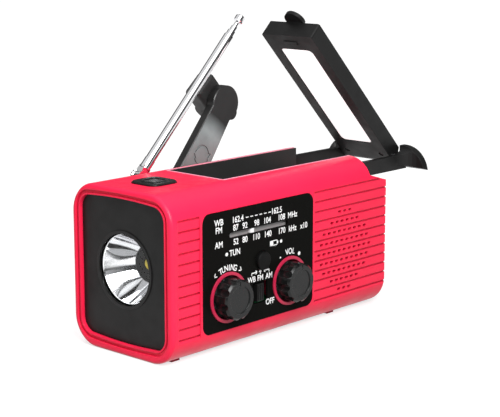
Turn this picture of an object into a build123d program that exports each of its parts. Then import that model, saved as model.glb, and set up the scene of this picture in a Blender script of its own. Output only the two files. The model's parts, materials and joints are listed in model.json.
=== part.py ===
"""Emergency radio: crank generator, torch, slide-out reading lamp with a solar panel, telescopic antenna.

Frame: origin at the centre of the casing's flat underside, +Z up, the torch end at -X, the dial at -Y and
the crank at +Y. Millimetres. The rest pose is the open one: lamp bracket slid out, lamp tilted up,
antenna and crank arm raised to the right.
"""
from build123d import *
from math import acos, cos, degrees, pi, radians, sin, tan
import os

# ---- casing -------------------------------------------------------------------------------------------
CASE_L = 135.0
CASE_W = 58.0
CASE_H = 68.0
CASE_R = 12.5
WALL = 2.2
END_FILLET = 1.8
SEAM_Y = 21.0
X_LEFT = -CASE_L / 2
X_RIGHT = CASE_L / 2
Y_FRONT = -CASE_W / 2
Y_BACK = CASE_W / 2

# ribbed bands on the front, the right end and the back
RIB_COUNT = 12
RIB_PITCH = 4.3
RIB_MID_Z = 34.55
RIB_WIDTH = 0.8
RIB_DEPTH = 0.6
BAND_DEPTH = 0.4
BAND_HALF = 25.6

# torch end
RIM_DEPTH = 2.0
RIM_STEP = 1.0
RIM_STEP_W = 1.3
BEAD_W = 0.75
BEAD_DROP = 0.3
TORCH_PANEL_W = 48.8
TORCH_PANEL_H = 59.0
TORCH_PANEL_R = 6.0
TORCH_CROWN = 1.3
TORCH_Z = 35.0
TORCH_R = 15.2
REFLECTOR_DEPTH = 15.5

# control panel
PANEL_X0 = -50.7
PANEL_X1 = 15.9
PANEL_Z0 = 10.0
PANEL_Z1 = 58.7
PANEL_R = 4.0
PANEL_T = 1.1
KNOB_Z = 23.3
TUNING_X = -36.2
VOLUME_X = 0.9
WELL_R = 9.1
WELL_RING_R = 10.4
KNOB_R = 8.3
KNOB_FACE_Y = Y_FRONT - 6.8
SHAFT_R = 3.0
DIAL_Z = 48.3
DIAL_X0 = -35.3
DIAL_X1 = -0.1
DIAL_H = 2.2
POINTER_X = -21.7
BUTTON_X = -16.0
BUTTON_Z = 34.9
BUTTON_R = 3.8
BAND_X = -17.3
BAND_Z = 21.7
BAND_W = 9.4
BAND_H = 8.8
BOARD_Y0 = -22.0
BOARD_T = 1.6

# speaker
SPEAKER_X = 37.8
SPEAKER_Z = RIB_MID_Z - RIB_PITCH
SPEAKER_R = 18.8
SPEAKER_GAP = 0.2
HOLE_PITCH = 3.45
HOLE_COUNTS = (3, 6, 9, 10, 11, 10, 9, 6, 3)

# top light button
TOP_BUTTON_X = -48.6
TOP_BUTTON_W = 15.0
TOP_BUTTON_RISE = 0.9
BUTTON_GAP = 0.25

# lamp bay in the top of the casing, with a rail channel on each side
BAY_X0 = -24.6
BAY_HALF = 15.2
TRAY_T = 0.8
DECK_Z = 57.4
DECK_T = 1.8
CUT_X = 56.0
SHOULDER_Z_IN = 60.5
SHOULDER_Z_OUT = 57.0
RAIL_Y0 = 16.2
RAIL_Y1 = 18.6
RAIL_Z0 = 57.6
RAIL_Z1 = 64.2
RAIL_X0 = 24.0
CHANNEL_X0 = -8.0
RUN_GAP = 0.2

# slide-out bracket and tilting lamp
SLIDE = 30.7
PLATE_T = 3.5
PLATE_X0 = X_RIGHT + SLIDE - PLATE_T
PLATE_X1 = X_RIGHT + SLIDE
CHEEK_X0 = 87.0
HINGE_X = 91.9
HINGE_Z = 63.0
HINGE_PIN_R = 1.25
LAMP_TILT = 45.8
LAMP_LEN = 84.7
LAMP_HALF = 14.3
LAMP_BELOW = 2.6
LAMP_ABOVE = 5.0
LAMP_WALL = 1.6
WINDOW_HALF = 9.0
WINDOW_NEAR = 11.7
WINDOW_FAR = 75.5

# crank on the back
CRANK_X = -19.4
CRANK_Z = 31.8
CRANK_ANGLE = 52.97
CRANK_LEN = 73.1
CRANK_SHAFT_R = 3.0
ARM_Y0 = 29.6
ARM_T = 4.0
ARM_W_HUB = 19.6
ARM_W_TIP = 12.8
ARM_END_R = 8.2
GRIP_AXIS_Y = 38.9
GRIP_R = 5.0
GRIP_SKEW = 11.3
GRIP_W = 13.0
GRIP_LEN = 12.6
LUG_HALF = 2.6
LUG_R = 3.4
GRIP_PIN_R = 1.5

# gear train: crank wheel, two-step idler, generator pinion
PRESSURE = radians(25)
CRANK_MODULE = 0.8
CRANK_TEETH = 48
IDLER_SMALL_TEETH = 12
FAST_MODULE = 0.6
IDLER_LARGE_TEETH = 40
PINION_TEETH = 12
BACKLASH = 0.12
IDLER_DIRECTION = -15.0
PINION_DIRECTION = -1.0
IDLER_REACH = CRANK_MODULE * (CRANK_TEETH + IDLER_SMALL_TEETH) / 2
PINION_REACH = FAST_MODULE * (IDLER_LARGE_TEETH + PINION_TEETH) / 2
IDLER_X = CRANK_X + IDLER_REACH * cos(radians(IDLER_DIRECTION))
IDLER_Z = CRANK_Z + IDLER_REACH * sin(radians(IDLER_DIRECTION))
PINION_X = IDLER_X + PINION_REACH * cos(radians(PINION_DIRECTION))
PINION_Z = IDLER_Z + PINION_REACH * sin(radians(PINION_DIRECTION))
WHEEL_Y0 = 20.5
WHEEL_T = 3.4
FAST_Y0 = 16.0
FAST_T = 2.4
GEARPLATE_Y0 = 13.4
GEARPLATE_T = 1.6

# antenna at the back of the top
ANTENNA_X = -34.0
ANTENNA_Y = 24.4
ANTENNA_Z = 65.5
ANTENNA_ANGLE = 45.3
ANTENNA_RADII = (2.2, 1.8, 1.4, 1.0)
ANTENNA_WALL = 0.35
ANTENNA_BASE_LEN = 78.0
ANTENNA_STEP = 2.6
GROOVE_R = 3.0

# battery bay in the underside
DOOR_HALF_X = 34.0
DOOR_HALF_Y = 17.0
DOOR_T = 1.6
DOOR_SCREW_X = 30.6
FIT = 0.15

# port opening in the back
PORT_X0 = 34.0
PORT_X1 = 52.0
PORT_Z0 = 12.0
PORT_Z1 = 21.0

SCREW_SPOTS = ((-56.0, 9.0), (-57.0, 54.0), (56.0, 9.0), (50.0, 52.5))


# ---- helpers ------------------------------------------------------------------------------------------
def block(x0, x1, y0, y1, z0, z1):
    """A box given by its two corners."""
    size = Box(x1 - x0, y1 - y0, z1 - z0)
    return Pos((x0 + x1) / 2, (y0 + y1) / 2, (z0 + z1) / 2) * size


def rod_y(x, z, radius, y0, y1):
    """A cylinder along Y."""
    return Pos(x, (y0 + y1) / 2, z) * Rot(90, 0, 0) * Cylinder(radius, y1 - y0)


def rod_x(y, z, radius, x0, x1):
    """A cylinder along X."""
    return Pos((x0 + x1) / 2, y, z) * Rot(0, 90, 0) * Cylinder(radius, x1 - x0)


def rod_z(x, y, radius, z0, z1):
    """A cylinder along Z."""
    return Pos(x, y, (z0 + z1) / 2) * Cylinder(radius, z1 - z0)


def facing_front(x, z, y):
    """A sketch plane whose first axis is +X and second axis is +Z; extruding grows towards -Y."""
    return Plane(origin=(x, y, z), x_dir=(1, 0, 0), z_dir=(0, -1, 0))


def casing_body(inset, x0, x1):
    """The casing's rounded section, shrunk all round by inset, between two X positions."""
    section = RectangleRounded(CASE_W - 2 * inset, CASE_H - 2 * inset, CASE_R - inset)
    plane = Plane(origin=(x0, 0, CASE_H / 2), x_dir=(0, 1, 0), z_dir=(1, 0, 0))
    return extrude(plane * section, amount=x1 - x0)


def rounded_slab(x0, x1, z0, z1, radius, y0, y1):
    """A slab facing the front, with rounded corners in X and Z."""
    sketch = RectangleRounded(x1 - x0, z1 - z0, radius)
    return extrude(facing_front((x0 + x1) / 2, (z0 + z1) / 2, y1) * sketch, amount=y1 - y0)


def torch_outline(grow, x0, x1):
    """The torch panel's outline, with crowned top and bottom edges, between two X positions."""
    half_w = TORCH_PANEL_W / 2 + grow
    half_h = TORCH_PANEL_H / 2 + grow
    top = ThreePointArc((-half_w, half_h - TORCH_CROWN), (0, half_h), (half_w, half_h - TORCH_CROWN))
    right = Line((half_w, half_h - TORCH_CROWN), (half_w, TORCH_CROWN - half_h))
    base = ThreePointArc((half_w, TORCH_CROWN - half_h), (0, -half_h), (-half_w, TORCH_CROWN - half_h))
    left = Line((-half_w, TORCH_CROWN - half_h), (-half_w, half_h - TORCH_CROWN))
    face = make_face(top + right + base + left)
    face = fillet(face.vertices(), TORCH_PANEL_R + grow)
    plane = Plane(origin=(x0, 0, CASE_H / 2 + 0.5), x_dir=(0, 1, 0), z_dir=(1, 0, 0))
    return extrude(plane * face, amount=x1 - x0)


def save(name, shape):
    """Write one node."""
    export_step(shape, f"parts/{name}.step")


# ---- casing -------------------------------------------------------------------------------------------
def shoulder_cut(lift, x0, x1):
    """Everything above the sloping shoulder at the right end, raised by lift."""
    slope = (SHOULDER_Z_OUT - SHOULDER_Z_IN) / (X_RIGHT - CUT_X)
    top = CASE_H + 4
    low = SHOULDER_Z_IN + slope * (x0 - CUT_X) + lift
    high = SHOULDER_Z_IN + slope * (x1 - CUT_X) + lift
    outline = Polyline((x0, low), (x1, high), (x1, top), (x0, top), close=True)
    plane = Plane(origin=(0, CASE_W, 0), x_dir=(1, 0, 0), z_dir=(0, -1, 0))
    return extrude(plane * make_face(outline), amount=2 * CASE_W)


def rib_cuts():
    """The ribbed bands: a shallow recess with narrow grooves across it."""
    z_low = RIB_MID_Z - BAND_HALF
    z_high = RIB_MID_Z + BAND_HALF
    left_x = X_LEFT + 3.5
    spans = ((left_x, PANEL_X0 - 1.2), (PANEL_X1 + 1.2, X_RIGHT + 1))
    cuts = []
    for x0, x1 in spans:
        cuts.append(block(x0, x1, Y_FRONT - 1, Y_FRONT + BAND_DEPTH, z_low, z_high))
    cuts.append(block(left_x, X_RIGHT + 1, Y_BACK - BAND_DEPTH, Y_BACK + 1, z_low, z_high))
    depth = BAND_DEPTH + RIB_DEPTH
    for index in range(RIB_COUNT):
        z = RIB_MID_Z + RIB_PITCH * (index - (RIB_COUNT - 1) / 2)
        z0 = z - RIB_WIDTH / 2
        z1 = z + RIB_WIDTH / 2
        for x0, x1 in spans:
            cuts.append(block(x0, x1, Y_FRONT - 1, Y_FRONT + depth, z0, z1))
        cuts.append(block(left_x, X_RIGHT + 1, Y_BACK - depth, Y_BACK + 1, z0, z1))
        cuts.append(block(X_RIGHT - RIB_DEPTH, X_RIGHT + 1, Y_FRONT, Y_BACK, z0, z1))
    return cuts


def speaker_holes():
    """Rows of short slots in front of the loudspeaker, one row on each rib."""
    cuts = []
    middle = (len(HOLE_COUNTS) - 1) / 2
    for row, count in enumerate(HOLE_COUNTS):
        z = SPEAKER_Z + RIB_PITCH * (middle - row)
        for column in range(count):
            x = SPEAKER_X + HOLE_PITCH * (column - (count - 1) / 2)
            cuts.append(rounded_slab(x - 1.1, x + 1.1, z - 0.55, z + 0.55, 0.5, Y_FRONT - 1, Y_FRONT + 3))
    return cuts


def channel_cuts():
    """The two rail channels beside the lamp bay."""
    cuts = []
    for side in (-1, 1):
        near = side * (BAY_HALF + TRAY_T)
        far = side * (RAIL_Y1 + 0.3)
        y0 = min(near, far)
        y1 = max(near, far)
        cuts.append(block(CHANNEL_X0, X_RIGHT + 1, y0, y1, DECK_Z, RAIL_Z1 + 0.3))
    return cuts


def casing_shell():
    """The whole casing before it is split into its two shells."""
    outer = casing_body(0, X_LEFT, X_RIGHT)
    ends = outer.faces().filter_by(Axis.X)
    outer = fillet(ends.edges(), END_FILLET)
    shell = outer - casing_body(WALL, X_LEFT + RIM_DEPTH + 2.4, X_RIGHT - WALL)
    # solid deck under the lamp bay, housings round the rail channels, and the right shoulder
    deck = block(BAY_X0 - 2.4, X_RIGHT - 1, -20.8, 20.8, DECK_Z - DECK_T, CASE_H - 0.4)
    shoulder = casing_body(1, CUT_X - 2.2, X_RIGHT - 1) & block(0, 99, -99, 99, 54.5, 99)
    seat = rod_y(ANTENNA_X, ANTENNA_Z - 1.2, 5.6, 19.2, 28.4) & outer
    gutter = rod_x(ANTENNA_Y, ANTENNA_Z, GROOVE_R + 1.6, ANTENNA_X, CUT_X + 3) & outer
    shell = shell + (deck & outer) + shoulder + seat + gutter
    shell = shell - block(BAY_X0 - TRAY_T, X_RIGHT + 1, -BAY_HALF - TRAY_T, BAY_HALF + TRAY_T, DECK_Z, 99)
    for cut in channel_cuts():
        shell = shell - cut
    shell = shell - shoulder_cut(0, CUT_X, X_RIGHT + 2)
    # torch opening, panel pocket and front openings
    shell = shell - torch_outline(0.1, X_LEFT - 1, X_LEFT + RIM_DEPTH + 3)
    shell = shell - torch_outline(BEAD_W, X_LEFT - 1, X_LEFT + BEAD_DROP)
    step = torch_outline(BEAD_W + RIM_STEP_W, X_LEFT - 1, X_LEFT + RIM_STEP)
    shell = shell - (step - torch_outline(BEAD_W, X_LEFT - 2, X_LEFT + RIM_STEP + 1))
    shell = shell - rounded_slab(PANEL_X0 - 0.1, PANEL_X1 + 0.1, PANEL_Z0 - 0.1, PANEL_Z1 + 0.1,
                                 PANEL_R, Y_FRONT - 1, Y_FRONT + PANEL_T)
    for x in (TUNING_X, VOLUME_X):
        shell = shell - rod_y(x, KNOB_Z, WELL_RING_R, Y_FRONT - 1, Y_FRONT + 4)
    shell = shell - block(DIAL_X0 - 2, DIAL_X1 + 2, Y_FRONT, Y_FRONT + 4, DIAL_Z - 1.8, DIAL_Z + 3.2)
    shell = shell - rod_y(BUTTON_X, BUTTON_Z, BUTTON_R + BUTTON_GAP, Y_FRONT, Y_FRONT + 4)
    shell = shell - block(BAND_X - 6.4, BAND_X + 6.4, Y_FRONT, Y_FRONT + 4, BAND_Z - 5.6, BAND_Z + 5.6)
    top_hole = RectangleRounded(TOP_BUTTON_W + 2 * BUTTON_GAP, TOP_BUTTON_W + 2 * BUTTON_GAP, 4)
    shell = shell - extrude(Pos(TOP_BUTTON_X, 0, CASE_H - 4) * top_hole, amount=6)
    shell = shell - Compound(children=rib_cuts())
    shell = shell - Compound(children=speaker_holes())
    return shell


def front_case(shell):
    """Front shell: the casing ahead of the seam, with posts, screw bosses and the battery opening."""
    front = shell & block(-99, 99, -99, SEAM_Y, -9, 99)
    inner = casing_body(WALL - 0.2, X_LEFT + 5, X_RIGHT - WALL + 0.2)
    for x, z in SCREW_SPOTS:
        boss = rod_y(x, z, 3.4, Y_FRONT + 1.5, SEAM_Y) & inner
        front = front + boss - rod_y(x, z, 1.2, SEAM_Y - 16, SEAM_Y + 1)
    for x in (-46.0, 12.0):
        for z in (12.5, 51.0):
            front = front + rod_y(x, z, 1.8, Y_FRONT + 1.6, BOARD_Y0)
    for y0, y1 in ((-19.6, -17.6), (16.4, 18.4)):
        front = front + block(-33, 33, y0, y1, 1, 8)
    front = front - block(-32, 32, -15, 15, -1, WALL + 0.5)
    door_x = DOOR_HALF_X + FIT
    door_y = DOOR_HALF_Y + FIT
    front = front - block(-door_x, door_x, -door_y, door_y, -1, DOOR_T)
    front = front - rod_z(DOOR_SCREW_X, 0, 1.0, 0, WALL + 1)
    return front


def rear_case(shell):
    """Rear shell: the casing behind the seam, with the crank bearing's seat and the port opening."""
    rear = shell & block(-99, 99, SEAM_Y, 99, -9, 99)
    inner_y = Y_BACK - WALL
    for x, z in SCREW_SPOTS:
        rear = rear + rod_y(x, z, 3.4, SEAM_Y, inner_y + 1)
        rear = rear - rod_y(x, z, 1.5, SEAM_Y - 1, 99) - rod_y(x, z, 2.8, inner_y - 0.6, 99)
    rear = rear + rod_y(CRANK_X, CRANK_Z, 7.0, 24.8, inner_y + 1.5)
    rear = rear - rod_y(CRANK_X, CRANK_Z, 4.6, 24, 99)
    rear = rear + rod_y(IDLER_X, IDLER_Z, 3.2, 25.2, inner_y + 1)
    rear = rear - rod_y(IDLER_X, IDLER_Z, 1.5, 24, inner_y + 0.6)
    rear = rear - rounded_slab(PORT_X0, PORT_X1, PORT_Z0, PORT_Z1, 1.5, inner_y - 1, Y_BACK + 1)
    # antenna: knuckle slot with its pin hole, and the groove that the rod lies in
    slot = block(ANTENNA_X - 3.4, ANTENNA_X + 7, ANTENNA_Y - 2.5, ANTENNA_Y + 2.5, ANTENNA_Z - 3.4, 99)
    rear = rear - slot - rod_y(ANTENNA_X, ANTENNA_Z, 1.6, ANTENNA_Y - 3, ANTENNA_Y + 9)
    rear = rear - rod_x(ANTENNA_Y, ANTENNA_Z, GROOVE_R, ANTENNA_X, CUT_X + 1)
    rear = rear - block(ANTENNA_X, CUT_X + 1, ANTENNA_Y - GROOVE_R, ANTENNA_Y + GROOVE_R, ANTENNA_Z, 99)
    return rear


def case_screws():
    """Four pan-head screws that pull the shells together from the back."""
    screws = []
    for x, z in SCREW_SPOTS:
        seat_y = Y_BACK - WALL - 0.5
        head = rod_y(x, z, 2.6, seat_y, seat_y + 1.8)
        head = head - block(x - 1.3, x + 1.3, seat_y + 1, 99, z - 0.3, z + 0.3)
        head = head - block(x - 0.3, x + 0.3, seat_y + 1, 99, z - 1.3, z + 1.3)
        screws.append(head + rod_y(x, z, 1.2, 6.0, seat_y))
    return Compound(children=screws)


def foot_pads():
    """Four pads on the rounded lower edges; their soles lie level with the flat underside."""
    pads = []
    curve = casing_body(0, X_LEFT, X_RIGHT)
    for x in (-58.0, 38.0):
        for side in (-1, 1):
            y = side * 19.0
            pads.append(block(x - 2.2, x + 2.2, y - 1.8, y + 1.8, 0, 3.2) - curve)
    return Compound(children=pads)


# ---- torch --------------------------------------------------------------------------------------------
TORCH_FACE_X = X_LEFT + RIM_DEPTH


def torch_panel():
    """Black end plate with the torch hole, and a flange that sits behind the casing's rim."""
    plate = torch_outline(0, TORCH_FACE_X, TORCH_FACE_X + 2.5)
    flange = casing_body(WALL + 0.3, TORCH_FACE_X + 2.5, TORCH_FACE_X + 4.0)
    panel = plate + flange
    for x, z in SCREW_SPOTS[:2]:
        panel = panel - rod_y(x, z, 3.6, -99, 99)
    return panel - rod_x(0, TORCH_Z, TORCH_R, -99, 0)


def torch_bezel():
    """Thin ring round the torch lens."""
    ring = rod_x(0, TORCH_Z, TORCH_R + 0.7, TORCH_FACE_X - 0.4, TORCH_FACE_X)
    collar = rod_x(0, TORCH_Z, TORCH_R, TORCH_FACE_X, TORCH_FACE_X + 0.6)
    return ring + collar - rod_x(0, TORCH_Z, TORCH_R - 0.6, -99, 0)


def torch_lens():
    """Clear flat lens, clamped between the bezel and the reflector."""
    return rod_x(0, TORCH_Z, TORCH_R - 0.05, TORCH_FACE_X + 0.6, TORCH_FACE_X + 1.6)


def torch_reflector():
    """Parabolic reflector bowl, round the LED at its apex."""
    mouth_x = TORCH_FACE_X + 1.6
    apex_x = mouth_x + REFLECTOR_DEPTH
    steps = 10
    mouth_r = TORCH_R - 1.0
    throat_r = 3.4
    inner = []
    for step in range(steps + 1):
        radius = mouth_r + (throat_r - mouth_r) * step / steps
        inner.append((apex_x - REFLECTOR_DEPTH * (radius / mouth_r) ** 2, radius))
    outer = [(x, radius + 0.9) for x, radius in reversed(inner)]
    profile = Spline(*inner) + Line(inner[-1], outer[0]) + Spline(*outer) + Line(outer[-1], inner[0])
    bowl = revolve(Plane.XZ * make_face(profile), axis=Axis.X)
    flange = rod_x(0, 0, TORCH_R - 0.05, mouth_x, mouth_x + 1.0)
    flange = flange - rod_x(0, 0, mouth_r + 0.1, mouth_x - 1, mouth_x + 2)
    return Pos(0, 0, TORCH_Z) * (bowl + flange)


def torch_led():
    """LED chip on its round board, in the reflector's throat."""
    x = TORCH_FACE_X + 1.6 + REFLECTOR_DEPTH
    base = block(x - 1.0, x, -2.1, 2.1, TORCH_Z - 2.1, TORCH_Z + 2.1)
    dome = rod_x(0, TORCH_Z, 1.7, x - 1.9, x - 1.0)
    return base + dome + rod_x(0, TORCH_Z, 8.0, x, x + 1.6)


# ---- control panel ------------------------------------------------------------------------------------
def control_panel():
    """Glossy black fascia with its openings."""
    panel = rounded_slab(PANEL_X0, PANEL_X1, PANEL_Z0, PANEL_Z1, PANEL_R - 0.1, Y_FRONT, Y_FRONT + PANEL_T)
    for x in (TUNING_X, VOLUME_X):
        panel = panel - rod_y(x, KNOB_Z, WELL_RING_R, -99, 0)
    half = DIAL_H / 2
    panel = panel - rounded_slab(DIAL_X0, DIAL_X1, DIAL_Z - half, DIAL_Z + half, half - 0.1, -40, -20)
    panel = panel - rod_y(BUTTON_X, BUTTON_Z, BUTTON_R + BUTTON_GAP, -99, 0)
    panel = panel - rounded_slab(BAND_X - BAND_W / 2, BAND_X + BAND_W / 2, BAND_Z - BAND_H / 2,
                                 BAND_Z + BAND_H / 2, 0.8, -40, -20)
    return panel


def knob_wells():
    """Two cups round the knobs, each with a raised rim and a hole for the shaft."""
    cups = []
    for x in (TUNING_X, VOLUME_X):
        cup = rod_y(x, KNOB_Z, WELL_RING_R, Y_FRONT - 0.6, -23.2)
        cups.append(cup - rod_y(x, KNOB_Z, WELL_R, -40, -24.2) - rod_y(x, KNOB_Z, SHAFT_R + 0.3, -40, -20))
    return Compound(children=cups)


def knob(x, pointer_angle):
    """Scalloped knob with a domed cap and an index groove."""
    body = rod_y(x, KNOB_Z, KNOB_R, KNOB_FACE_Y, -24.8)
    body = chamfer(body.faces().sort_by(Axis.Y)[0].edges(), 0.8)
    for index in range(9):
        angle = radians(index * 40 + pointer_angle)
        scallop_x = x + (KNOB_R + 1.1) * cos(angle)
        scallop_z = KNOB_Z + (KNOB_R + 1.1) * sin(angle)
        body = body - rod_y(scallop_x, scallop_z, 2.0, KNOB_FACE_Y - 1, -28.6)
    angle = radians(pointer_angle + 20)
    groove_x = x + 6.4 * cos(angle)
    groove_z = KNOB_Z + 6.4 * sin(angle)
    groove = Pos(groove_x, KNOB_FACE_Y, groove_z) * Rot(0, -degrees(angle), 0) * Box(4, 1, 0.8)
    dish = rod_y(x, KNOB_Z, 5.7, KNOB_FACE_Y - 1, KNOB_FACE_Y + 0.45)
    return body - groove - dish - rod_y(x, KNOB_Z, SHAFT_R, -33.4, -20)


def knob_shaft(x):
    """Round shaft that the knob is pressed on."""
    return rod_y(x, KNOB_Z, SHAFT_R, -33.4, -18.2)


def tuning_capacitor():
    """Square variable capacitor behind the board."""
    back_y = BOARD_Y0 + BOARD_T
    body = block(TUNING_X - 10, TUNING_X + 10, back_y, back_y + 8.5, KNOB_Z - 10, KNOB_Z + 10)
    return body - rod_y(TUNING_X, KNOB_Z, SHAFT_R + 0.05, -40, -18.0)


def volume_control():
    """Round potentiometer behind the board, with three solder tags."""
    back_y = BOARD_Y0 + BOARD_T
    body = rod_y(VOLUME_X, KNOB_Z, 8.0, back_y, back_y + 8.0)
    for offset in (-4.0, 0.0, 4.0):
        body = body + block(VOLUME_X + offset - 0.6, VOLUME_X + offset + 0.6, back_y, back_y + 1, 12.4, 16.0)
    return body - rod_y(VOLUME_X, KNOB_Z, SHAFT_R + 0.05, -40, -18.0)


def dial_strip():
    """Pale grey strip behind the dial window."""
    y0 = Y_FRONT + WALL
    return block(DIAL_X0 - 2.8, DIAL_X1 + 2.8, y0, y0 + 0.8, DIAL_Z - 2.6, DIAL_Z + 1.3)


def dial_pointer():
    """White pointer tab in the dial window, on a carrier that passes over the strip."""
    tab = block(POINTER_X - 1.0, POINTER_X + 1.0, -28.7, -27.4, DIAL_Z - 0.9, DIAL_Z + 0.9)
    web = block(POINTER_X - 1.0, POINTER_X + 1.0, -27.7, -27.1, DIAL_Z - 0.9, DIAL_Z + 2.8)
    arm = block(POINTER_X - 1.0, POINTER_X + 1.0, -27.1, -24.0, DIAL_Z + 1.6, DIAL_Z + 2.8)
    return tab + web + arm


def mode_button():
    """Round push button, with a collar that keeps it behind the wall."""
    cap = rod_y(BUTTON_X, BUTTON_Z, BUTTON_R, Y_FRONT - 1.6, -25.4)
    cap = fillet(cap.faces().sort_by(Axis.Y)[0].edges(), 0.6)
    return cap + rod_y(BUTTON_X, BUTTON_Z, BUTTON_R + 0.9, -26.5, -25.4)


def mode_switch():
    """Tact switch under the round button."""
    base = block(BUTTON_X - 3, BUTTON_X + 3, -24.0, BOARD_Y0, BUTTON_Z - 3, BUTTON_Z + 3)
    return base + rod_y(BUTTON_X, BUTTON_Z, 1.6, -24.4, -24.0)


def band_slider():
    """Sliding cap of the band switch, with three grip ridges on its face."""
    cap = block(BAND_X - 1.9, BAND_X + 1.9, Y_FRONT - 0.2, -26.9, BAND_Z - 3.6, BAND_Z + 3.6)
    for offset in (-1.2, 0.0, 1.2):
        x = BAND_X + offset
        cap = cap + block(x - 0.25, x + 0.25, Y_FRONT - 0.6, Y_FRONT, BAND_Z - 3.2, BAND_Z + 3.2)
    stem = block(BAND_X - 1, BAND_X + 1, -26.9, -24.6, BAND_Z - 1, BAND_Z + 1)
    return cap + stem


def band_switch():
    """Switch body on the board, with the slot that the slider's stem runs in."""
    body = block(BAND_X - 5.6, BAND_X + 5.6, -26.2, BOARD_Y0, BAND_Z - 3.0, BAND_Z + 3.0)
    return body - block(BAND_X - 3.4, BAND_X + 3.4, -27, -24.4, BAND_Z - 1.15, BAND_Z + 1.15)


def main_board():
    """Circuit board behind the fascia, with its chips and capacitors, and clearance for both shafts."""
    back_y = BOARD_Y0 + BOARD_T
    board = block(-49, 15, BOARD_Y0, back_y, 9, 54)
    board = board + block(-28, -16, back_y, back_y + 1.8, 38, 46)
    board = board + block(-6, 2, back_y, back_y + 1.6, 40, 45)
    for x in (-40.0, -34.0, 8.0):
        board = board + rod_y(x, 43.0, 2.4, back_y, back_y + 6.5)
    for x in (TUNING_X, VOLUME_X):
        board = board - rod_y(x, KNOB_Z, SHAFT_R + 0.6, -40, 0)
    return board


# ---- speaker ------------------------------------------------------------------------------------------
def speaker_frame():
    """Steel basket: a flange against the front wall and a tapering pan with four windows."""
    y0 = Y_FRONT + WALL + SPEAKER_GAP
    flange = rod_y(SPEAKER_X, SPEAKER_Z, SPEAKER_R, y0, y0 + 1.2)
    pan = Pos(SPEAKER_X, y0 + 5.2, SPEAKER_Z) * Rot(-90, 0, 0) * Cone(SPEAKER_R - 2, 10, 8)
    hollow = Pos(SPEAKER_X, y0 + 4.4, SPEAKER_Z) * Rot(-90, 0, 0) * Cone(SPEAKER_R - 2.6, 9.4, 8.8)
    basket = flange + pan - hollow
    basket = basket - rod_y(SPEAKER_X, SPEAKER_Z, SPEAKER_R - 2.6, y0 - 1, y0 + 1.2)
    for angle in (45, 135, 225, 315):
        window = Pos(SPEAKER_X, y0 + 6, SPEAKER_Z) * Rot(0, angle, 0) * Pos(15, 0, 0) * Box(6, 4.4, 8)
        basket = basket - window
    return basket


def speaker_cone():
    """Paper cone with a roll surround and a dust cap."""
    y0 = Y_FRONT + WALL + SPEAKER_GAP + 0.6
    outer = Pos(SPEAKER_X, y0 + 3.2, SPEAKER_Z) * Rot(-90, 0, 0) * Cone(14.8, 6.0, 5)
    inner = Pos(SPEAKER_X, y0 + 2.6, SPEAKER_Z) * Rot(-90, 0, 0) * Cone(14.6, 5.6, 5.1)
    surround = rod_y(SPEAKER_X, SPEAKER_Z, 15.9, y0, y0 + 0.6)
    surround = surround - rod_y(SPEAKER_X, SPEAKER_Z, 14.4, -40, 0)
    return outer - inner + surround + rod_y(SPEAKER_X, SPEAKER_Z, 6.0, y0 + 4.8, y0 + 5.7)


def speaker_magnet():
    """Ring magnet with its back plate."""
    y0 = Y_FRONT + WALL + SPEAKER_GAP + 9.2
    ring = rod_y(SPEAKER_X, SPEAKER_Z, 10.0, y0, y0 + 4.0)
    return ring + rod_y(SPEAKER_X, SPEAKER_Z, 8.6, y0 + 4.0, y0 + 5.4)


# ---- top light button ---------------------------------------------------------------------------------
def light_button():
    """Square push button in the top, with a raised outline on its face and a collar below the wall."""
    cap_z0 = CASE_H - 3.6
    cap = extrude(Pos(TOP_BUTTON_X, 0, cap_z0) * RectangleRounded(TOP_BUTTON_W, TOP_BUTTON_W, 3.8),
                  amount=CASE_H + TOP_BUTTON_RISE - cap_z0)
    cap = chamfer(cap.faces().sort_by(Axis.Z)[-1].edges(), 0.5)
    ring = RectangleRounded(9.0, 9.0, 2.4) - RectangleRounded(7.4, 7.4, 1.8)
    cap = cap + extrude(Pos(TOP_BUTTON_X, 0, CASE_H + TOP_BUTTON_RISE) * ring, amount=0.3)
    collar = extrude(Pos(TOP_BUTTON_X, 0, cap_z0 - 0.2) * RectangleRounded(17, 17, 4), amount=1.0)
    return cap + collar


def light_switch():
    """Tact switch on a small board under the top button."""
    board = block(TOP_BUTTON_X - 7, TOP_BUTTON_X + 9, -9, 9, 58.2, 59.6)
    body = block(TOP_BUTTON_X - 3, TOP_BUTTON_X + 3, -3, 3, 59.6, 62.2)
    return board + body + rod_z(TOP_BUTTON_X, 0, 1.6, 62.2, 62.9)


# ---- lamp bay, bracket and lamp -----------------------------------------------------------------------
def bay_tray():
    """Black lining of the lamp bay, open at the top and at the right end."""
    half = BAY_HALF + TRAY_T
    tray = block(BAY_X0 - TRAY_T, CUT_X, -half, half, DECK_Z, CASE_H)
    return tray - block(BAY_X0, CUT_X + 1, -BAY_HALF, BAY_HALF, DECK_Z + 1.2, CASE_H + 1)


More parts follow.
